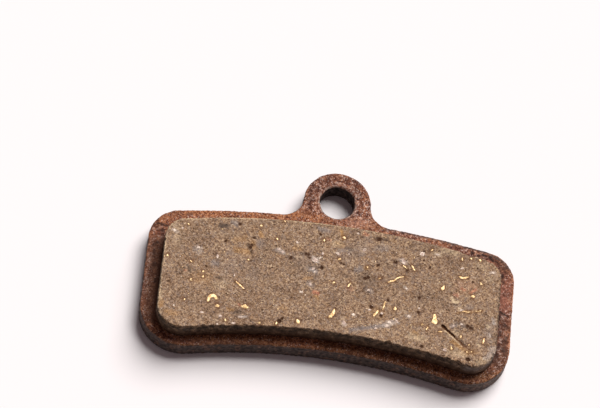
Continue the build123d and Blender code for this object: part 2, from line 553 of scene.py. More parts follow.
# stains in the worn face by layer: x, y, x and y of the other end, reach, strength
faceStains = {
    # darker patches: darker compound in some, painted shade of shallow dents in others; the row at 11.75,
    # -3.18 is a painted shadow along the lower edge of a pale ring
    "shade": [
        (-11.1, 1.85, -10.55, 1.9, 0.36, 1.0), (-8.9, -7.2, -8.4, -7.1, 0.32, 0.7),
        (13.2, -5.35, 13.8, -5.45, 0.3, 0.6), (1.2, 1.35, 1.6, 1.2, 0.3, 0.5),
        (-10.9, -3.7, -10.6, -3.75, 0.22, 0.7), (-13.8, -2.9, -13.5, -3.5, 0.2, 0.7),
        (-8.3, 0.3, -7.85, -0.7, 0.22, 0.7), (-3.2, 0.1, -2.4, 0.05, 0.18, 0.8),
        (-2.4, -1.2, -1.1, -1.2, 0.14, 0.7), (4.0, 2.75, 5.0, 2.8, 0.2, 0.7),
        (2.2, -1.5, 3.2, -2.0, 0.25, 0.4), (-5.6, -0.2, -4.9, -0.1, 0.22, 0.5),
        (3.1, -1.6, 3.4, -1.9, 1.1, 0.5), (-3.6, -1.1, -2.4, -1.6, 1.3, 0.22),
        (-8.3, -2.8, -6.3, -3.3, 1.3, 0.2), (-6.8, 0.3, -5.8, 0.1, 0.9, 0.24),
        (8.5, -2.9, 9.3, -2.6, 1.0, 0.24), (7.5, 2.6, 9.0, 2.3, 0.7, 0.2),
        (-12.0, -1.7, -11.2, -1.8, 0.9, 0.15), (-14.6, -3.6, -14.2, -3.8, 0.8, 0.15),
        (4.2, 1.6, 4.8, 1.5, 0.8, 0.18), (12.4, -5.2, 12.8, -5.4, 0.7, 0.2),
        (-10.7, 1.3, -9.3, 1.1, 0.7, 0.25), (-8.2, -4.2, -7.9, -4.2, 0.7, 0.2),
        (-4.6, -1.9, -4.3, -1.9, 0.7, 0.25), (2.2, 0.7, 2.4, 0.6, 0.6, 0.3),
        (1.0, -1.5, 1.6, -1.5, 0.6, 0.2), (5.6, -1.6, 6.8, -2.0, 0.7, 0.3), (9.4, -0.8, 9.6, -0.8, 0.6, 0.3),
        (10.6, -3.0, 10.8, -3.1, 0.7, 0.28), (3.0, -3.7, 3.4, -3.8, 0.9, 0.2),
        (4.7, 0.0, 5.2, 0.1, 0.6, 0.25), (-6.8, -1.1, -6.6, -1.2, 0.7, 0.25),
        (-14.0, -7.0, -12.9, -6.4, 0.6, 0.2), (12.1, 0.0, 12.3, 0.1, 0.5, 0.2),
        (-1.5, -2.1, -1.4, -2.6, 0.5, 0.25), (-6.7, -5.7, -6.3, -5.7, 0.6, 0.2),
        (11.75, -3.18, 12.2, -3.15, 0.16, 0.7), (12.8, -6.97, 13.12, -7.3, 0.24, 0.85),
    ],
    "ochre": [
        (-12.6, -4.0, -12.0, -3.9, 0.9, 0.22), (4.4, -5.1, 4.9, -5.2, 0.7, 0.25),
        (-9.3, -0.55, -8.2, -0.6, 0.45, 0.45), (-7.3, 1.7, -7.1, 1.35, 0.3, 0.5),
        (-9.5, -6.95, -9.1, -7.0, 0.28, 0.5), (-15.3, -8.1, -14.5, -8.2, 0.4, 0.4),
        (12.1, -7.2, 13.6, -8.15, 0.36, 0.55), (13.0, -8.2, 14.2, -8.0, 0.4, 0.3),
        (3.1, -0.55, 3.25, -0.6, 0.25, 0.6), (0.45, 3.1, 0.75, 2.3, 0.22, 0.75),
        (0.2, 1.7, 0.7, 1.5, 0.35, 0.35), (-1.35, -4.35, -1.2, -4.5, 0.25, 0.5),
        (-3.8, 0.5, -3.3, 0.5, 0.35, 0.4), (-9.6, 0.6, -8.6, 0.8, 0.4, 0.3),
        (8.3, -6.7, 8.6, -6.9, 0.25, 0.5), (12.4, -4.0, 14.6, -3.5, 0.2, 0.4),
        (-2.6, -2.6, -1.9, -2.4, 0.2, 0.4), (-7.9, 0.4, -7.8, 0.0, 0.4, 0.4),
        (-4.5, -6.0, -4.2, -6.1, 0.4, 0.35), (-15.9, -7.5, -15.9, -7.0, 0.35, 0.5),
    ],
    "red": [
        (12.4, -1.0, 13.4, -1.0, 0.8, 0.12), (1.6, -2.9, 1.9, -3.05, 0.35, 0.25),
        (-1.6, -3.95, -1.15, -3.95, 0.24, 0.85), (12.55, -1.4, 12.75, -1.5, 0.22, 0.6),
        (13.85, -1.25, 13.5, -1.65, 0.18, 0.75), (11.9, -2.15, 12.15, -2.2, 0.22, 0.5),
        (2.7, 3.15, 2.95, 3.05, 0.24, 0.55), (-14.05, -3.45, -13.95, -3.45, 0.16, 0.5),
        (-8.6, -6.3, -8.45, -6.4, 0.16, 0.6), (-0.7, 2.0, -0.5, 1.9, 0.2, 0.3),
    ],
    "worn": [
        (-15.4, 0.9, -15.0, -0.6, 0.8, 0.12), (11.24, -6.1, 12.95, -7.5, 0.12, 0.75),
        (11.6, -2.5, 11.85, -2.95, 0.17, 0.9), (12.5, -3.6, 12.75, -3.75, 0.24, 0.6),
        (11.9, -2.95, 12.25, -2.9, 0.17, 0.85), (-10.9, -4.6, -10.3, -4.3, 0.6, 0.2),
        (0.0, 1.6, 0.4, 1.6, 0.5, 0.25), (12.2, -6.1, 12.5, -6.3, 0.35, 0.3),
        (14.6, -9.0, 15.5, -8.8, 0.5, 0.3), (9.5, 2.1, 10.2, 2.0, 0.4, 0.25),
        (14.0, 1.3, 14.4, 1.2, 0.5, 0.2), (15.2, 0.2, 15.3, -0.1, 0.4, 0.2),
        (13.1, -8.4, 11.8, -8.1, 0.5, 0.32), (8.0, -7.1, 9.0, -7.3, 0.5, 0.32),
        (11.6, 2.4, 10.6, 2.5, 0.5, 0.32), (-16.1, -5.9, -16.0, -6.8, 0.22, 0.4),
        (15.2, -5.0, 15.4, -5.2, 0.14, 0.55), (14.4, -7.0, 14.7, -7.3, 0.14, 0.55),
    ],
    "pale": [
        (15.3, -6.4, 15.6, -5.0, 0.6, 0.15), (7.45, -5.1, 7.75, -5.15, 0.22, 0.4),
        (6.35, -5.65, 6.75, -6.0, 0.14, 0.45), (9.75, 1.95, 10.05, 1.92, 0.18, 0.4),
        (1.45, -6.8, 1.65, -6.95, 0.22, 0.4), (15.5, -8.5, 15.95, -7.4, 0.45, 0.3),
        (15.75, -4.2, 15.95, -4.7, 0.25, 0.3), (-8.4, -7.6, -7.8, -7.5, 0.16, 0.5),
        (-5.5, 0.1, -4.8, -0.15, 0.28, 0.4), (5.5, -6.4, 6.1, -6.0, 0.4, 0.5),
        (-15.6, 0.75, -15.2, 0.55, 0.22, 0.35), (-2.1, -1.55, -1.7, -1.7, 0.2, 0.45),
        (15.2, 0.8, 15.6, 0.85, 0.2, 0.35), (7.1, -2.1, 7.3, -2.3, 0.2, 0.3),
        (-13.2, -1.0, -12.9, -1.1, 0.5, 0.3), (-1.9, -0.3, -1.6, -0.5, 0.35, 0.45),
        (6.5, 0.8, 6.8, 0.6, 0.3, 0.4), (15.75, -4.4, 15.85, -4.7, 0.14, 0.6),
        (15.5, -5.8, 15.6, -6.1, 0.14, 0.55),
    ],
    "greyAndPaintedLight": [
        (3.4, -2.9, 3.8, -3.0, 0.35, 0.45), (-10.0, 2.4, -9.7, 2.3, 0.4, 0.6),
        (2.3, -0.95, 2.6, -0.8, 0.4, 0.6), (2.3, -7.4, 5.2, -6.5, 0.3, 0.7),
        (-11.4, -2.2, -11.1, -2.3, 0.4, 0.6), (-1.6, 3.0, -0.8, 2.9, 0.35, 0.6),
        (-2.1, -1.5, -1.6, -1.7, 0.4, 0.7), (2.4, -0.9, 2.6, -0.6, 0.3, 0.6),
        (11.8, -5.6, 12.2, -5.4, 0.3, 0.6), (-7.2, 0.4, -7.2, 0.7, 0.5, 0.4),
        (-2.2, -3.0, -1.9, -3.2, 0.35, 0.5), (-10.0, -0.9, -9.9, -1.0, 0.4, 0.3),
        (2.5, 0.7, 2.7, 1.0, 0.3, 0.4), (0.5, 0.9, 1.4, 1.1, 0.35, 0.45), (4.0, 1.7, 5.0, 1.9, 0.4, 0.4),
        (13.2, -3.2, 13.5, -3.4, 0.35, 0.4), (12.8, -5.2, 13.0, -5.3, 0.3, 0.4),
        (1.0, 0.5, 3.0, 1.8, 1.2, 0.17), (-10.4, -2.7, -9.2, -1.9, 1.2, 0.17),
        (-3.3, -0.2, -1.6, -1.8, 1.1, 0.15), (-7.9, -3.0, -7.5, -2.9, 0.9, 0.16),
    ],
    "pore": [
        (-8.24, 0.28, -7.92, -0.11, 0.11, 0.9), (-7.92, -0.11, -7.86, -0.65, 0.1, 0.8),
        (-3.35, 0.7, -2.7, 0.04, 0.1, 0.8), (-2.7, 0.04, -2.2, -0.32, 0.1, 0.8),
        (4.15, 2.75, 5.0, 2.7, 0.11, 0.85), (3.0, -1.8, 3.5, -1.5, 0.15, 0.8),
        (8.45, -2.5, 8.55, -2.95, 0.09, 0.7), (3.07, -3.1, 3.23, -2.64, 0.09, 0.7),
        (5.5, -3.7, 5.6, -3.65, 0.15, 0.9), (14.6, 2.05, 14.75, 2.0, 0.16, 0.7),
    ],
    "trough": [
        (12.5, -6.95, 13.25, -7.52, 0.22, 0.6),
    ],
}


def footLine(x, middle):
    return middle - block["footRadius"] + sqrt(block["footRadius"] ** 2 - x * x)


def byGouge(place):
    middleX, middleY = block["gougeMiddle"]
    return hypot(place.x - middleX, place.y - middleY) < block["gougeReach"]


def easeGouge(piece):  # the gouge's floor rises to its end
    for vertex in piece.data.vertices:
        onFloor = byGouge(vertex.co) and vertex.co.z < faceTop - block["gougeFloor"]
        if onFloor and vertex.co.x > block["gougeMiddle"][0]:
            vertex.co.z = faceTop - block["gougeEndDepth"]


def crumbleFoot(piece, tree, draws):
    half = block["footHalf"]
    middle = min(place.y for place in placesOf(piece) if abs(place.x) < block["middleHalf"])
    count, radii, outs, ups = block["bites"]
    for bite in range(count):  # out of the edge
        x = draws.uniform(-half, half)
        radius = mostlySmall(draws, *radii)
        out, up = draws.uniform(*outs), draws.uniform(*ups)
        scoop(piece, tree, Vector((x, footLine(x, middle) - radius * out, faceTop + radius * up)), radius)
    count, radii, (above, below), outs = block["crumbs"]
    for crumb in range(count):  # out of the wall
        x = draws.uniform(-half, half)
        radius = draws.uniform(*radii)
        z = draws.uniform(plateTop + above, faceTop - below)
        scoop(piece, tree, Vector((x, footLine(x, middle) - radius * draws.uniform(*outs), z)), radius)


def wornEdge(piece):  # places round the edge of the face, with the way out of each
    spots = []
    least, most = block["edgeLean"]
    for vertex in piece.data.vertices:
        place, normal = vertex.co, vertex.normal
        onTop = normal.y > block["topLean"] and place.x > block["topFrom"]
        onEdge = place.z > faceTop - block["edgeSkin"] and least < normal.z < most
        if onEdge and (abs(place.x) > block["endFrom"] or onTop) and not byGouge(place):
            spots.append((place.copy(), normal.copy()))
    return spots


def nickEdge(piece, tree, spots, draws):
    count, (least, most), leftMost, outs = block["nicks"]
    for nick in range(count):
        place, out = draws.choice(spots)
        radius = mostlySmall(draws, least, most if place.x > 0 else leftMost)
        scoop(piece, tree, place + out * radius * draws.uniform(*outs), radius)


def paintShadeAroundChips(tree, paint):  # painted shade: the compound is darker where it meets the brass, in the trough layer
    spots = [(x, y, max(length, width)) for x, y, length, width, turn in brassFlakes]
    spots += [spot for points in brassStrips for spot in points]
    for x, y, across in spots:
        dab(tree, paint["trough"], Vector((x, y, faceTop)), block["paintedChipShadeReach"] + across / 2, block["paintedChipShadeStrength"])


def pitFace(piece, tree, paint, draws):
    reach, strength = block["pitPaint"]
    for x, y, across, depth in facePits:
        pit(piece, tree, x, y, across, depth)
        dab(tree, paint["pore"], Vector((x, y, faceTop)), across * reach, strength)
    count, xs, ys, widths, depth, reach, strengths = block["pores"]
    for pore in range(count):
        x, y, across = draws.uniform(*xs), draws.uniform(*ys), draws.uniform(*widths)
        pit(piece, tree, x, y, across, across * depth)
        dab(tree, paint["pore"], Vector((x, y, faceTop)), across * reach, draws.uniform(*strengths))


def tearGouge(piece, tree):
    middle, start, end = (Vector(block[name]) for name in ("gougeMiddle", "troughStart", "troughEnd"))
    steps, width, depth = block["torn"]
    for step in range(steps + 1):  # half as deep at the end
        pit(piece, tree, *middle.lerp(start, step / steps), width, depth * (1 - step / (2 * steps)))
    steps, width, depth = block["trough"]
    for step in range(steps + 1):  # almost nothing left at the end
        pit(piece, tree, *start.lerp(end, step / steps), width, depth * (1 - step / (steps + 2)) ** 2)


def paintWear(piece, tree, paint):
    scale, middle, depth = block["blotch"]
    for vertex in piece.data.vertices:
        place, index = vertex.co, vertex.index
        ragged = sum(noise.noise(place * size) for size in block["raggedScales"])
        cover = coversOf(block["regions"], {**factsOf(vertex, faceTop), "ragged": ragged})
        wall = max(cover["steep"], cover["deep"]) * (middle + depth * noise.noise(place * scale))
        # the wall is darkened less at the right front corner: painted light
        paint["wall"][index] = min(1.0, wall) * (1 - cover["paleCorner"])
        # painted shade at the bottom of the walls, in the pore colour
        deepen(paint["pore"], index, cover["grime"])
        if cover["worn"] > block["wornFrom"]:
            dab(tree, paint["worn"], place, block["wornLine"], cover["worn"])
        if cover["gouge"] > 0 and byGouge(place):
            paint["trough"][index] = cover["gouge"]
            paint["wall"][index] = 0.0


def makeBlock():
    piece = copyOfNode("friction_block", "worn_friction_block")
    easeGouge(piece)
    remesh(piece, block["voxel"])
    bond, faceSkin = plateTop + skin, faceTop - block["faceSkin"]
    changeFaces(piece, lambda middle, normal: normal.z < -flat and middle.z < bond, dissolve)
    draws = random.Random(block["seed"])
    walls = group(piece, "walls", lambda place, normal: place.z > bond and normal.z < block["wallLean"])
    face = group(piece, "face", lambda place, normal: place.z > faceSkin and normal.z > block["faceLean"])
    for name in ("wallCrumble", "wallGrain"):
        roughen(piece, walls, name, *block[name])
    foot = group(piece, "foot", lambda place, normal: place.z > bond and normal.y < block["footLean"])
    roughen(piece, foot, "footCrumble", *block["footCrumble"])
    for name in ("faceWaves", "faceGrain"):
        roughen(piece, face, name, *block[name])
    tree = treeOf(placesOf(piece))
    paint = paintLayers(piece, "trough", "wall", "pore", *compound["stains"])
    spots = wornEdge(piece)
    pitFace(piece, tree, paint, draws)
    tearGouge(piece, tree)
    crumbleFoot(piece, tree, draws)
    nickEdge(piece, tree, spots, draws)
    keepInside(piece, plateLow, padHigh)
    stain(tree, paint, faceStains, faceTop)
    troughStart, troughEnd = ((*block[name], faceTop) for name in ("troughStart", "troughEnd"))
    smear(tree, paint["trough"], troughStart, troughEnd, *block["troughPaint"])
    smear(tree, paint["greyAndPaintedLight"], *block["greyLeftWallCorner"])
    # painted light on the wall at the right front corner
    smear(tree, paint["greyAndPaintedLight"], *block["paintedLitWallCorner"])
    paintShadeAroundChips(tree, paint)
    paintWear(piece, tree, paint)
    keepPaint(piece, paint)
    pick(piece)
    bpy.ops.object.shade_smooth()
    return piece


# Brass chips and mineral specks, seated in the worn face and ground flush with it

chips = {
    "seed": 5, "proud": 0.014, "thickness": 0.08, "speckSwell": 1.12, "smoothAngle": 35,
    "slabs": [(9, 1), (11, 2), (8, 3)], "slabRagged": 0.23, "slabBevel": 0.05,  # sides, seed
    "grainSeed": 4, "grainRagged": 0.18,
    "stripSwell": 1.15, "stripFlat": 0.4, "torn": 0.07, "tornScale": 7.0, "tornAside": (31.0, 17.0, 5.0),
    "glints": (240, (0.05, 0.13)), "grit": (130, (0.06, 0.14)), "slim": (0.5, 1.0),  # count, size
    "flat": 0.5, "seatLean": 0.8, "seatGap": 0.12,
    "heapGrain": (0.06, 0.13), "heapLeast": 3, "grainsOnArea": 60, "heapSpread": 1.5,
    "heapSlim": 0.8, "heapRise": 0.15,
}
# flakes: x, y, length, width, turn in degrees
brassFlakes = [
    (-10.6, -6.75, 0.42, 0.28, 10), (-8.0, -6.45, 0.7, 0.36, -8), (-13.35, -4.35, 0.3, 0.27, 0),
    (-12.3, -3.3, 0.2, 0.2, 30), (-12.27, -3.85, 0.18, 0.28, 0), (-7.27, 2.45, 0.26, 0.22, 0),
    (-5.6, 1.25, 0.26, 0.18, -40), (-15.86, -2.1, 0.22, 0.18, 0), (-13.55, -2.4, 0.32, 0.11, -50),
    (-14.2, 1.55, 0.24, 0.14, -45), (-9.7, -8.15, 0.16, 0.3, 20), (-6.45, -7.95, 0.26, 0.22, 30),
    (-4.85, -7.75, 0.16, 0.32, -15), (0.8, 2.4, 0.34, 0.2, -20), (0.55, 0.0, 0.34, 0.24, 15),
    (-2.85, -7.25, 0.34, 0.46, 30), (10.7, -1.6, 0.32, 0.5, -20), (14.35, -0.6, 0.26, 0.24, 30),
    (13.65, -2.05, 0.42, 0.25, 0), (6.28, -4.5, 0.3, 0.34, 0), (9.0, -5.8, 0.29, 0.2, 40),
    (10.75, -6.3, 0.42, 0.15, 5), (11.95, -7.9, 0.2, 0.34, 10), (12.75, -6.55, 0.2, 0.3, 0),
    (14.1, 1.95, 0.29, 0.19, -45), (13.2, 2.0, 0.26, 0.14, -15), (12.35, 1.8, 0.16, 0.34, 15),
    (9.35, 2.35, 0.3, 0.14, 50), (3.3, -0.45, 0.24, 0.14, -40), (4.55, -1.5, 0.26, 0.14, 20),
    (10.15, -5.25, 0.58, 0.62, 0), (-8.15, -1.4, 0.2, 0.14, -40), (-5.05, 3.3, 0.26, 0.1, -50),
    (-13.75, -6.55, 0.15, 0.2, -20), (-1.1, 1.8, 0.18, 0.24, 0), (0.2, -2.6, 0.32, 0.18, 30),
    (13.6, -7.3, 0.2, 0.12, 30), (13.45, -8.05, 0.14, 0.18, 0), (13.9, -8.0, 0.16, 0.12, -30),
]
# curls and wires: the points along each, with the width there
brassStrips = [
    [(-11.55, -6.46, 0.16), (-11.52, -6.11, 0.22), (-11.34, -5.83, 0.27), (-11.07, -5.7, 0.29),
     (-10.84, -5.87, 0.28), (-10.79, -6.08, 0.2)],
    [(-9.08, -3.93, 0.12), (-8.68, -4.25, 0.15), (-8.27, -4.58, 0.1)],
    [(0.5, -5.45, 0.12), (0.42, -5.85, 0.3), (0.25, -6.25, 0.28), (0.08, -6.35, 0.12)],
    [(4.72, -4.95, 0.1), (4.5, -5.25, 0.24), (4.28, -5.58, 0.14)],
    [(5.27, -3.92, 0.12), (5.2, -4.35, 0.12), (5.1, -4.85, 0.08)],
    [(5.38, -1.8, 0.1), (5.7, -1.6, 0.15), (6.0, -1.5, 0.12), (6.3, -1.1, 0.13), (6.85, -0.95, 0.1)],
    [(6.7, 0.24, 0.08), (6.9, 0.12, 0.13), (7.1, -0.04, 0.08)],
    [(7.52, 0.36, 0.1), (7.68, 0.1, 0.18), (7.88, -0.14, 0.1)],
    [(12.15, -0.1, 0.08), (12.45, -0.25, 0.17), (12.75, -0.2, 0.17), (13.08, -0.02, 0.08)],
    [(10.1, -4.52, 0.16), (10.12, -4.8, 0.25), (10.15, -5.1, 0.4)],
    [(12.72, -3.82, 0.06), (13.0, -3.78, 0.12), (13.3, -3.85, 0.11), (13.5, -3.75, 0.05)],
    [(14.0, -3.65, 0.04), (14.3, -3.55, 0.07), (14.55, -3.5, 0.04)],
    [(15.02, -6.38, 0.1), (15.02, -6.65, 0.2), (14.87, -6.95, 0.1)],
    [(9.55, -5.95, 0.08), (9.48, -6.15, 0.13), (9.42, -6.35, 0.08)],
    [(1.85, -2.4, 0.1), (1.68, -2.65, 0.16), (1.6, -2.85, 0.1)],
]
# pale specks: x, y, length, width, turn in degrees
paleSpecks = [
    (8.45, 1.8, 0.4, 0.38, 0), (6.7, 0.7, 0.34, 0.48, 20), (-13.0, -0.8, 0.3, 0.22, 0),
    (-11.1, -1.45, 0.2, 0.36, 0), (-15.5, 0.7, 0.3, 0.2, -30), (-14.7, 1.05, 0.18, 0.18, 0),
    (-12.0, -7.65, 0.36, 0.16, 0), (-8.3, -7.58, 0.44, 0.1, 12), (-5.3, 0.15, 0.34, 0.24, -20),
    (-4.95, -0.05, 0.26, 0.2, 20), (-1.78, -0.45, 0.42, 0.42, 20), (-1.25, -0.12, 0.42, 0.12, 35),
    (-1.1, 0.35, 0.16, 0.3, 0), (-1.9, -1.45, 0.3, 0.2, 30), (-1.7, -1.75, 0.22, 0.18, 0),
    (-2.0, -3.1, 0.18, 0.28, 10), (0.35, 0.55, 0.4, 0.2, -30), (2.85, 1.35, 0.34, 0.26, 40),
    (2.36, -5.73, 0.26, 0.24, 0), (1.55, -6.75, 0.26, 0.38, 10), (5.6, -6.45, 0.34, 0.26, 0),
    (5.85, -6.0, 0.34, 0.22, 20), (4.6, -6.85, 0.24, 0.16, 20), (3.85, -5.0, 0.3, 0.16, 0),
    (5.05, -5.2, 0.24, 0.16, -20), (7.65, -5.1, 0.3, 0.2, 0), (11.35, -8.15, 0.32, 0.27, 0),
    (12.4, 0.8, 0.34, 0.14, 30), (15.4, 0.8, 0.3, 0.18, 0), (12.0, -5.5, 0.26, 0.2, 0),
    (-3.65, 1.2, 0.2, 0.2, 0), (2.1, 3.05, 0.2, 0.16, 0), (-2.8, -4.1, 0.36, 0.18, -10),
    (-14.7, -7.35, 0.14, 0.12, 0), (1.4, 0.7, 0.12, 0.14, 0), (-10.2, -7.8, 0.3, 0.24, -20),
    (-8.9, -8.35, 0.36, 0.16, 10), (-10.4, -8.68, 0.16, 0.1, 0), (7.2, -2.2, 0.3, 0.16, -40),
    (12.75, -5.2, 0.26, 0.12, 0), (-9.3, -3.25, 0.1, 0.26, -15), (8.6, -4.1, 0.24, 0.14, 0),
    (3.6, -2.9, 0.24, 0.14, 10), (12.6, -3.7, 0.26, 0.16, 10), (9.9, 1.94, 0.26, 0.16, 0),
    (6.55, -5.8, 0.4, 0.12, -42),
]


def makeUneven(name, ragged, seed, bevel=0.0):  # the primitive that was just added
    piece = bpy.context.object
    piece.name = name
    enter("EDIT")
    bpy.ops.mesh.select_all(action="SELECT")
    bpy.ops.transform.vertex_random(offset=ragged, uniform=0.0, normal=0.0, seed=seed)
    if bevel:
        bpy.ops.mesh.bevel(offset=bevel, segments=1)
    enter("OBJECT")
    return piece


def shapeSlab(sides, seed):  # one across and one high
    deselect()
    bpy.ops.mesh.primitive_cylinder_add(vertices=sides, radius=0.5, depth=1.0, location=(0, 0, 0))
    return makeUneven("slab", chips["slabRagged"], seed, chips["slabBevel"])


def shapeGrain(seed):
    deselect()
    bpy.ops.mesh.primitive_ico_sphere_add(subdivisions=1, radius=0.5, location=(0, 0, 0))
    return makeUneven("grain", chips["grainRagged"], seed)


def placeCopy(shape, x, y, z, length, width, height, turn):
    piece = addObject(shape.name, shape.data.copy())
    piece.location = (x, y, z)
    piece.scale = (length, width, height)
    piece.rotation_euler = (0, 0, radians(turn))
    return piece


def layStrip(points, seatOf):
    curve = bpy.data.curves.new("strip", "CURVE")
    curve.dimensions = "3D"
    curve.bevel_depth = 0.5  # half the width that each point gives
    curve.bevel_resolution = 1
    curve.resolution_u = 5
    curve.use_fill_caps = True
    line = curve.splines.new("NURBS")
    line.points.add(len(points) - 1)
    for point, (x, y, width) in zip(line.points, points):
        point.co = (x, y, 0, 1)
        point.radius = width * chips["stripSwell"]
    line.order_u = 3
    line.use_endpoint_u = True
    pick(addObject("strip", curve))
    bpy.ops.object.convert(target="MESH")
    piece = bpy.context.object
    seat = max(seatOf(x, y) for x, y, width in points)
    # torn along its edges, pressed flat and ground level with the face
    for vertex in piece.data.vertices:
        spot = vertex.co * chips["tornScale"]
        tornX = chips["torn"] * noise.noise(spot)
        tornY = chips["torn"] * noise.noise(spot + Vector(chips["tornAside"]))
        level = min(seat + chips["proud"], seat + vertex.co.z * chips["stripFlat"])
        vertex.co = (vertex.co.x + tornX, vertex.co.y + tornY, level)
    return piece


def joinAs(name, parts):
    deselect()
    for part in parts:
        part.select_set(True)
    bpy.context.view_layer.objects.active = parts[0]
    bpy.ops.object.transform_apply(location=True, rotation=True, scale=True)
    bpy.ops.object.join()
    piece = bpy.context.object
    piece.name = name
    bpy.ops.object.shade_smooth_by_angle(angle=radians(chips["smoothAngle"]))
    keepInside(piece, plateLow, padHigh)
    return piece


def scatter(parts, shape, count, sizes, draws, worn, tree):
    placed = 0
    while placed < count:
        x, y = draws.uniform(blockLow.x, blockHigh.x), draws.uniform(blockLow.y, blockHigh.y)
        length, slim = draws.uniform(*sizes), draws.uniform(*chips["slim"])
        turn = draws.uniform(0, 180)
        place, index, gap = tree.find((x, y, faceTop))
        if worn.data.vertices[index].normal.z < chips["seatLean"] or gap > chips["seatGap"]:
            continue
        parts.append(placeCopy(shape, x, y, place.z, length, length * slim, length * chips["flat"], turn))
        placed += 1


def gather(parts, shape, rows, draws, seatOf):  # each speck is a small heap of grains
    for x, y, length, width, turn in rows:
        along = Vector((cos(radians(turn)), sin(radians(turn))))
        for count in range(max(chips["heapLeast"], round(length * width * chips["grainsOnArea"]))):
            reach, bearing = chips["heapSpread"] * sqrt(draws.random()) / 2, draws.uniform(0, 2 * pi)
            out, over = reach * cos(bearing) * length, reach * sin(bearing) * width
            grainX, grainY = x + along.x * out - along.y * over, y + along.y * out + along.x * over
            size = draws.uniform(*chips["heapGrain"])
            z = seatOf(grainX, grainY) + size * chips["heapRise"]
            wide, high, grainTurn = size * chips["heapSlim"], size * chips["flat"], draws.uniform(0, 180)
            parts.append(placeCopy(shape, grainX, grainY, z, size, wide, high, grainTurn))


def makeChips(worn):
    tree = treeOf(placesOf(worn))
    draws = random.Random(chips["seed"])
    slabs = [shapeSlab(sides, seed) for sides, seed in chips["slabs"]]
    grain = shapeGrain(chips["grainSeed"])

    def seatOf(x, y):
        return tree.find((x, y, faceTop))[0].z

    def laySlabs(rows, swell=1.0):
        parts = []
        for number, (x, y, length, width, turn) in enumerate(rows):
            z = min(seatOf(x, y) + chips["proud"], faceTop) - chips["thickness"] / 2
            shape = slabs[number % len(slabs)]
            parts.append(placeCopy(shape, x, y, z, length * swell, width * swell, chips["thickness"], turn))
        return parts

    brassParts = laySlabs(brassFlakes)
    brassParts += [layStrip(points, seatOf) for points in brassStrips]
    scatter(brassParts, grain, *chips["glints"], draws, worn, tree)
    brassPiece = joinAs("brass_chips", brassParts)
    speckParts = laySlabs(paleSpecks, chips["speckSwell"])
    gather(speckParts, grain, paleSpecks, draws, seatOf)
    scatter(speckParts, grain, *chips["grit"], draws, worn, tree)
    speckPiece = joinAs("mineral_specks", speckParts)
    for shape in slabs + [grain]:
        bpy.data.objects.remove(shape)
    handOver(brassPiece, chipMaterial("brass", brassWithPaintedSheen))
    handOver(speckPiece, chipMaterial("paleMineral", mineralFinish))


# Backing plate: the solid remeshed and eaten by rust

plate = {
    "voxel": 0.09, "crust": (0.5, 0.09, 0.75), "grain": (0.17, 0.07, 0.75),  # size, depth, level
    "hiddenX": 0.9, "hiddenY": 3.6, "backLean": -0.5, "backSkin": 0.1, "backKept": 0.4, "footSkin": 0.15,
    "holeRadius": 1.7, "holeY": 7.18, "redY": -0.5, "paintedLitEdgeClear": 0.8, "spotShare": 0.6,
    "scales": {"patch": 0.22, "spot": 1.3, "chipped": 3.0, "mottled": 2.4, "filled": 1.4},  # of the noises
    # painted regions: cover, then where each begins and where it is full
    "regions": {
        "side": (1.0, {"up": (0.4, 0.1)}), "farEdge": (0.6, {"up": (0.93, 0.75), "far": (0.2, 0.4)}),
        "rustedBack": (0.75, {"up": (-0.4, -0.8), "rusted": (-0.4, 0.8)}),
        # litEdge: painted light on the rounded top edge that faces right
        "litEdge": (1.0, {"up": (0.97, 0.85), "right": (0.25, 0.5), "y": (2.0, 0.5)}),
        "footRidge": (0.9, {"far": (-0.1, -0.45), "up": (0.15, 0.5), "y": (-5.5, -6.5)}),
        # painted light on the plate's side at the right front corner, in the bare layer
        "paleCorner": (0.14, {"up": (0.4, 0.1), "x": (12.5, 15.5), "y": (-6.0, -8.5)}),
        "rim": (0.62, {"fromHole": (0.26, 0.16), "down": (0.25, 0.1), "facing": (-2.4, 0.6),
                       "chipped": (-0.25, 0.35)}),
        # bore: painted shade down the wall of the hole
        "bore": (0.4, {"fromHole": (0.12, 0.05), "down": (0.1, 0.3)}),
        "top": (1.0, {"up": (0.5, 0.7), "y": (-8.8, -7.6)}),
        "mottle": (0.8, {"mottled": (0.0, 0.35), "x": (15.0, 16.2)}),
        "crevice": (0.85, {"gap": (0.42, 0.2), "filled": (-0.5, 0.1), "x": (2.0, 6.0)}),
        # what the red patch takes from the mottle and the crevice
        "redMottle": (0.625, {"fromRed": (2.2, 1.4)}), "redCrevice": (0.7, {"fromRed": (2.2, 1.4)}),
    },
}
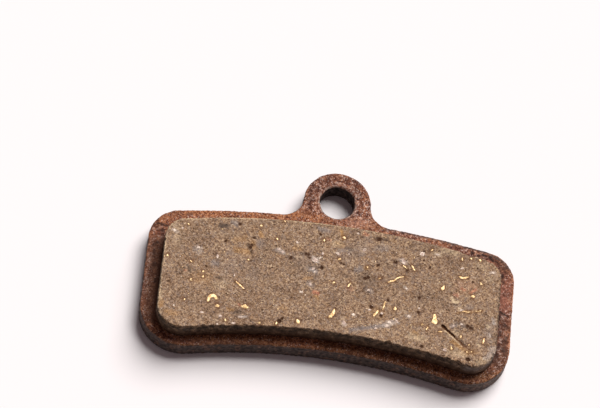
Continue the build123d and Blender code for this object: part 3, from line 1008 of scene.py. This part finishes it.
# stains on the plate by layer: x, y, x and y of the other end, reach, strength
plateStains = {
    "orangeAndPaintedLight": [
        (-16.6, 2.6, -15.0, 3.9, 1.1, 0.5), (-14.5, 4.0, -9.0, 4.6, 1.0, 0.85),
        (-9.0, 4.6, -3.5, 5.1, 0.9, 0.85), (-3.5, 5.1, -1.6, 5.2, 0.7, 0.8),
        (-2.6, 5.4, -2.2, 5.5, 0.6, 0.9), (3.2, 5.4, 4.4, 5.1, 0.5, 0.5), (9.0, 4.6, 11.0, 4.3, 0.5, 0.5),
        (-17.3, 0.5, -17.2, 0.9, 0.7, 0.6), (1.8, 5.1, 3.0, 5.3, 0.8, 1.0),
        (-8.0, -8.9, 2.0, -8.5, 0.6, 0.4), (2.3, 7.6, 2.8, 6.0, 0.7, 0.4),
        # these four rows lift the band along the block's foot: painted light in the block's shadow
        (-13.0, -9.6, -7.0, -8.6, 0.4, 0.6), (-7.0, -8.6, 0.0, -8.15, 0.4, 0.6),
        (0.0, -8.15, 7.0, -8.6, 0.4, 0.6), (7.0, -8.6, 13.0, -9.6, 0.4, 0.6),
        (-0.6, 5.0, 1.4, 5.0, 0.6, 0.7), (2.6, 5.6, 3.4, 5.9, 0.5, 0.6),
    ],
    "red": [
        (1.9, 5.2, 2.7, 5.4, 0.5, 0.5), (17.0, 0.3, 17.0, -2.2, 0.9, 1.0),
        (16.6, -0.2, 16.6, -2.0, 0.6, 1.0), (16.9, 1.5, 17.3, 0.9, 0.5, 0.7), (0.0, 5.2, 1.0, 5.3, 0.5, 0.5),
        (-17.35, 0.55, -17.15, 0.35, 0.45, 0.8),
    ],
    "bareAndPaintedLight": [
        (1.6, 5.15, 3.0, 5.35, 0.75, 0.12),
    ],
    "dark": [
        (-17.1, 0.6, -17.0, -8.0, 0.8, 0.66), (16.8, -2.9, 16.9, -8.0, 0.8, 0.42),
        (5.0, 5.4, 15.0, 4.0, 0.3, 0.45), (15.5, 3.4, 16.6, 2.4, 0.3, 0.25),
        (-16.45, 0.8, -16.45, -8.2, 0.5, 0.9), (-14.3, 3.6, -14.0, 3.7, 0.25, 0.7),
        (-6.4, 5.0, -6.2, 5.0, 0.2, 0.7), (2.2, 7.8, 2.5, 6.8, 0.3, 0.4), (1.4, 9.1, 2.0, 8.4, 0.5, 0.5),
        (-2.6, 7.6, -1.0, 9.7, 0.9, 0.3), (-1.0, 9.7, 0.8, 9.8, 0.7, 0.25),
        (-2.9, 7.4, -2.6, 6.2, 0.7, 0.25), (-14.0, -9.9, -6.0, -9.4, 0.5, 0.4),
        (-5.0, -9.3, 3.0, -9.1, 0.5, 0.2), (13.5, -9.8, 15.8, -9.3, 0.5, 0.15),
        (-17.2, 1.9, -16.4, 1.4, 0.5, 0.5), (-3.2, 5.3, -2.6, 5.6, 0.5, 0.35),
    ],
    "crackAndPaintedShade": [
        (-17.1, 2.25, -16.05, 2.1, 0.2, 0.95), (-17.3, -0.15, -16.85, 0.15, 0.2, 0.95),
        (16.5, -2.3, 17.4, -2.7, 0.16, 1.2), (13.45, 3.7, 13.55, 3.65, 0.2, 1.2),
        (14.0, 3.5, 14.2, 3.45, 0.19, 1.1), (14.55, 3.62, 14.9, 3.55, 0.18, 1.2),
        (15.2, 3.45, 15.4, 3.3, 0.2, 1.2), (15.55, 3.2, 15.65, 3.1, 0.18, 1.2),
        (16.0, 3.05, 16.1, 2.9, 0.17, 0.7), (16.25, 2.45, 16.35, 2.2, 0.17, 0.9),
        (17.05, 2.1, 17.1, 1.95, 0.15, 0.5), (16.6, 1.7, 16.65, 1.5, 0.2, 1.1),
        (16.65, 1.05, 16.75, 0.85, 0.22, 0.8), (16.9, -0.3, 17.0, -0.4, 0.2, 0.5),
        (16.55, -2.6, 16.6, -3.1, 0.2, 1.1), (17.2, -3.6, 17.15, -3.8, 0.2, 0.8),
        (16.7, -4.5, 16.75, -4.8, 0.22, 0.9), (17.3, -5.0, 17.35, -5.2, 0.2, 0.8),
        (16.75, -5.8, 16.7, -6.1, 0.22, 0.9), (17.1, -6.3, 17.2, -6.5, 0.19, 0.8),
        (16.6, -6.9, 16.55, -7.2, 0.22, 0.9), (-17.1, -0.85, -17.05, -1.15, 0.25, 0.7),
        (-16.9, -2.2, -16.88, -2.5, 0.25, 0.7), (-16.7, -3.8, -16.65, -4.1, 0.22, 0.6),
        (-16.55, 1.6, -16.45, 1.45, 0.2, 0.9),
    ],
    # frost: coarse lumps with painted glints on their tops
    "frost": [
        (-17.1, 1.5, -16.6, 1.1, 0.6, 0.9), (-2.4, 6.6, -1.4, 9.2, 1.5, 0.8),
        (-1.4, 9.2, 1.4, 9.2, 1.4, 0.8), (1.4, 9.2, 2.6, 6.6, 1.5, 0.8), (-1.2, 5.2, 2.8, 5.2, 0.9, 0.25),
        (5.0, 5.0, 15.0, 3.6, 0.6, 0.35), (16.9, -2.6, 16.9, -8.0, 0.8, 0.8),
        (-17.45, 0.3, -17.35, -7.6, 0.4, 0.6),
    ],
    "gold": [
        (14.0, -9.6, 16.3, -9.2, 0.7, 0.85), (16.3, -9.2, 17.2, -7.6, 0.6, 0.45),
        (-16.0, -8.9, -12.0, -9.6, 0.35, 0.4), (-12.0, -9.3, -4.0, -8.6, 0.8, 0.35),
        (0.0, -8.4, 14.0, -9.6, 0.9, 0.6), (-17.1, 0.0, -17.0, -8.0, 0.9, 0.45),
    ],
    "scale": [
        (5.0, 5.06, 11.0, 4.52, 0.18, 0.6), (11.0, 4.52, 14.8, 3.99, 0.18, 0.85),
        (14.8, 3.99, 16.5, 3.2, 0.18, 0.85), (16.5, 3.2, 17.2, 2.4, 0.16, 0.6),
    ],
}


def underBlock(middle, normal):
    across = abs(middle.x) < blockHigh.x - plate["hiddenX"]
    along = abs(middle.y - (blockLow.y + blockHigh.y) / 2) < plate["hiddenY"]
    return across and along and normal.z > flat and middle.z > plateTop - skin


def onBack(middle, normal):
    return normal.z < plate["backLean"] and middle.z < plate["backSkin"]


def thin():  # fewer faces where little shows
    bpy.ops.mesh.decimate(ratio=plate["backKept"])


def plateFacts(vertex, footTree):
    place = vertex.co
    facts = factsOf(vertex, plateTop)
    facts.update((name, noise.noise(place * scale)) for name, scale in plate["scales"].items())
    facts["rusted"] = facts["patch"] + plate["spotShare"] * facts["spot"]
    facts["fromHole"] = hypot(place.x, place.y - plate["holeY"]) - plate["holeRadius"]
    facts["facing"] = place.x - place.y + plate["holeY"] if place.x > 0 else 1.0  # full on the left
    facts["fromRed"] = abs(place.y - plate["redY"])
    facts["gap"] = footTree.find(place)[2]
    return facts


def paintEdges(piece, paint, footTree):
    for vertex in piece.data.vertices:
        index = vertex.index
        cover = coversOf(plate["regions"], plateFacts(vertex, footTree))
        deepen(paint["scale"], index, max(cover["side"] * (1 - cover["rustedBack"]), cover["farEdge"]))
        # painted light along the edges that face right, in the orange layer
        deepen(paint["orangeAndPaintedLight"], index, cover["litEdge"])
        deepen(paint["gold"], index, cover["footRidge"])
        # the hole's pale rim, and painted light on the side at the right front corner
        deepen(paint["bareAndPaintedLight"], index, max(cover["rim"], cover["paleCorner"]))
        # painted shade in the hole, in the crack layer
        deepen(paint["crackAndPaintedShade"], index, cover["bore"])
        if cover["top"] > 0 and vertex.co.x > 0:
            deepen(paint["dark"], index, cover["top"] * cover["mottle"] * (1 - cover["redMottle"]))
            # the dark rust is cleared where the edge carries painted light
            paint["dark"][index] *= 1 - plate["paintedLitEdgeClear"] * cover["litEdge"]
            deepen(paint["crackAndPaintedShade"], index, cover["top"] * cover["crevice"] * (1 - cover["redCrevice"]))


def makePlate(worn):
    piece = copyOfNode("backing_plate", "rusted_backing_plate")
    remesh(piece, plate["voxel"])
    changeFaces(piece, underBlock, dissolve)
    for name in ("crust", "grain"):
        roughen(piece, "", name, *plate[name])
    keepInside(piece, plateLow, plateHigh)
    changeFaces(piece, onBack, thin)
    keepInside(piece, plateLow, plateHigh)
    paint = paintLayers(piece, "dark", "crackAndPaintedShade", "scale", "bareAndPaintedLight", "frost", *rust["stains"])
    stain(treeOf(placesOf(piece)), paint, plateStains, plateTop)
    footTree = treeOf([place for place in placesOf(worn) if place.z < plateTop + plate["footSkin"]])
    paintEdges(piece, paint, footTree)
    keepPaint(piece, paint)
    pick(piece)
    bpy.ops.object.shade_smooth()
    handOver(piece, rustedSteel(), "backing_plate")


# Floor, light and camera

studio = {
    "floorSize": 3.0, "floor": {"Base Color": colour(244, 238, 237), "Roughness": 0.9},
    "keyStrength": 4.2, "keyTowards": (0.43, 0.72, 1.0), "keyAngle": 44.0,
    "air": {"Color": (1.0, 0.8, 0.85, 1.0), "Strength": 0.135},
    "aim": (-3.63, 6.43, 2.0), "distance": 354.3, "azimuth": -7.425, "elevation": 60.6, "roll": 14.33,
    "lens": 219.19, "clipStart": 0.01,
}


def makeFloor():
    deselect()
    bpy.ops.mesh.primitive_plane_add(size=studio["floorSize"], location=(0, 0, 0))
    floor = bpy.context.object
    floor.name = "floor"
    material = bpy.data.materials.new("paleFloor")
    material.use_nodes = True
    setSockets(material.node_tree.nodes["Principled BSDF"], studio["floor"])
    floor.data.materials.append(material)


def makeLight():
    key = bpy.data.lights.new("keyLight", "SUN")
    key.energy = studio["keyStrength"]
    key.angle = radians(studio["keyAngle"])
    lamp = addObject("keyLight", key)
    lamp.rotation_mode = "QUATERNION"
    lamp.rotation_quaternion = Vector(studio["keyTowards"]).to_track_quat("Z", "Y")
    world = bpy.data.worlds.new("studioAir")
    world.use_nodes = True
    setSockets(world.node_tree.nodes["Background"], studio["air"])
    bpy.context.scene.world = world
    bpy.context.scene.view_settings.view_transform = "Standard"


def makeCamera():
    turn, lift = radians(studio["azimuth"]), radians(studio["elevation"])
    back = Vector((sin(turn) * cos(lift), -cos(turn) * cos(lift), sin(lift)))
    camera = addObject("camera", bpy.data.cameras.new("camera"))
    camera.data.lens = studio["lens"]
    camera.data.clip_start = studio["clipStart"]
    camera.location = (Vector(studio["aim"]) + back * studio["distance"]) * mm
    camera.rotation_mode = "QUATERNION"
    roll = Quaternion((0, 0, 1), radians(studio["roll"]))
    camera.rotation_quaternion = (-back).to_track_quat("-Z", "Y") @ roll
    bpy.context.scene.camera = camera


wornBlock = makeBlock()
makeChips(wornBlock)
makePlate(wornBlock)
handOver(wornBlock, frictionCompound(), "friction_block")
makeFloor()
makeLight()
makeCamera()
print("studio ready")
